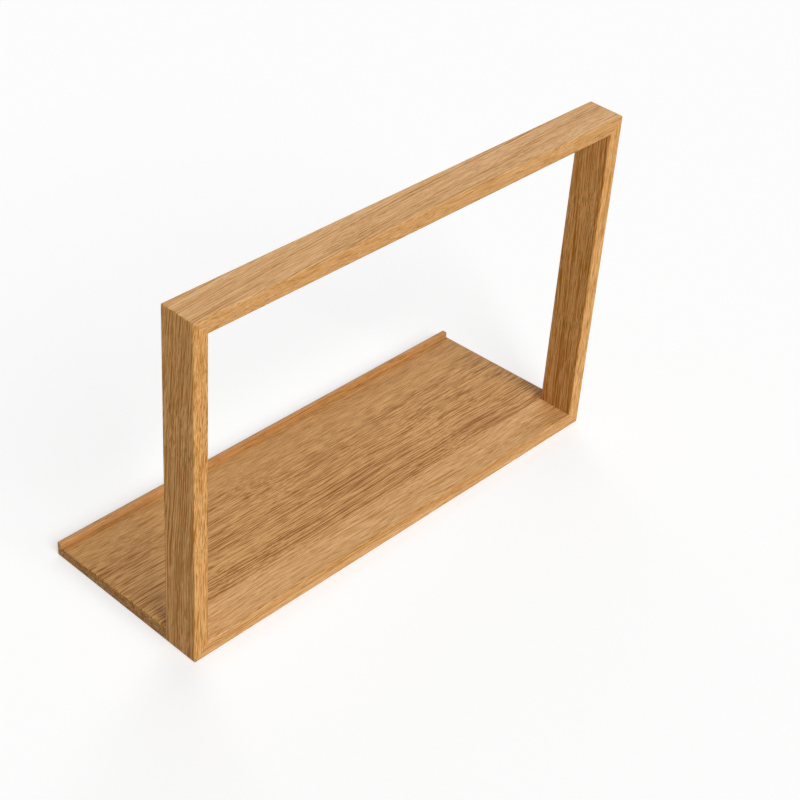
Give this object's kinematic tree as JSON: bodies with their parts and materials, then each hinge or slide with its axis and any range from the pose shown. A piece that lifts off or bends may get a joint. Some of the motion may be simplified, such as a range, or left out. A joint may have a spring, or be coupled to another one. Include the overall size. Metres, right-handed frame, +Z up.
{
  "type": "record storage stand",
  "caption": "Oak storage stand: a mitred rectangular hoop standing on edge, with a low one-sided tray and lip that hold upright twelve-inch sleeves.",
  "frame": {"origin": "centre of the stand's footprint, on the underside", "axes": "+Z up, -Y to the front, +X towards the hoop and -X towards the tray and its lip; the hoop's long bars run along Y"},
  "size_m": [0.194, 0.53, 0.36],
  "materials": {
    "oak_post": "oiled oak, grain along the post",
    "oak_bar": "oiled oak, grain along the bar",
    "oak_tray": "oiled oak, grain along the length of the stand, end grain at the front and rear",
    "oak_lip": "oiled oak, straight grain along the lip",
    "beech_dowel": "bare grooved beech, glued in"
  },
  "bodies": {
    "root": {"front_post": "oak_post", "rear_post": "oak_post", "top_bar": "oak_bar", "bottom_bar": "oak_bar", "tray_board": "oak_tray", "tray_lip": "oak_lip", "top_front_dowel_left": "beech_dowel", "top_front_dowel_right": "beech_dowel", "top_rear_dowel_left": "beech_dowel", "top_rear_dowel_right": "beech_dowel", "bottom_front_dowel_left": "beech_dowel", "bottom_front_dowel_right": "beech_dowel", "bottom_rear_dowel_left": "beech_dowel", "bottom_rear_dowel_right": "beech_dowel", "tray_dowel_1": "beech_dowel", "tray_dowel_2": "beech_dowel", "tray_dowel_3": "beech_dowel", "tray_dowel_4": "beech_dowel", "tray_dowel_5": "beech_dowel", "tray_dowel_6": "beech_dowel"}
  },
  "joints": []
}
